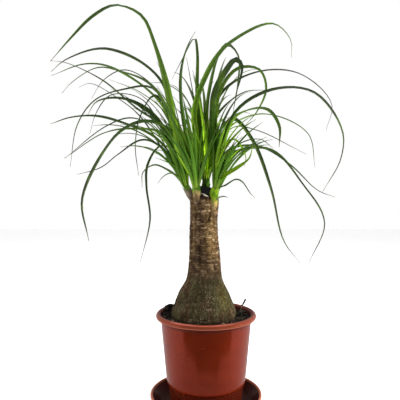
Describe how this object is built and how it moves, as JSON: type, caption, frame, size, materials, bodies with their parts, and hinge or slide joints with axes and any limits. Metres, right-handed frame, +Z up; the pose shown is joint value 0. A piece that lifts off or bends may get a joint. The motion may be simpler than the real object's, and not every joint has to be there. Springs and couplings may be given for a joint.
{
  "type": "potted ponytail palm",
  "caption": "Potted ponytail palm: swollen corky trunk with a cut top and tufts of arching strap leaves, in a rolled-rim plastic pot on a saucer.",
  "frame": {"origin": "centre of the saucer's flat underside, on the axis of the pot", "axes": "+Z up along the pot's axis, -Y the front that the picture shows, +X to the right of that view"},
  "size_m": [0.5317, 0.4124, 0.6852],
  "materials": {
    "pot_plastic": "glossy moulded terracotta-coloured plastic with faint scuffs",
    "saucer_plastic": "glossy moulded terracotta-coloured plastic, a little darker than the pot",
    "soil": "dark moist peat with bark crumbs",
    "dry_wood": "thin dry twig",
    "bark": "rough corky bark, brown above and olive grey on the swollen base",
    "leaf": "satin green strap leaves with fine lengthwise veins"
  },
  "bodies": {
    "root": {"saucer": "saucer_plastic", "pot": "pot_plastic", "soil": "soil", "twig": "dry_wood", "trunk": "bark", "head_left": "leaf", "head_middle": "leaf", "head_right": "leaf", "head_back": "leaf"}
  },
  "joints": []
}
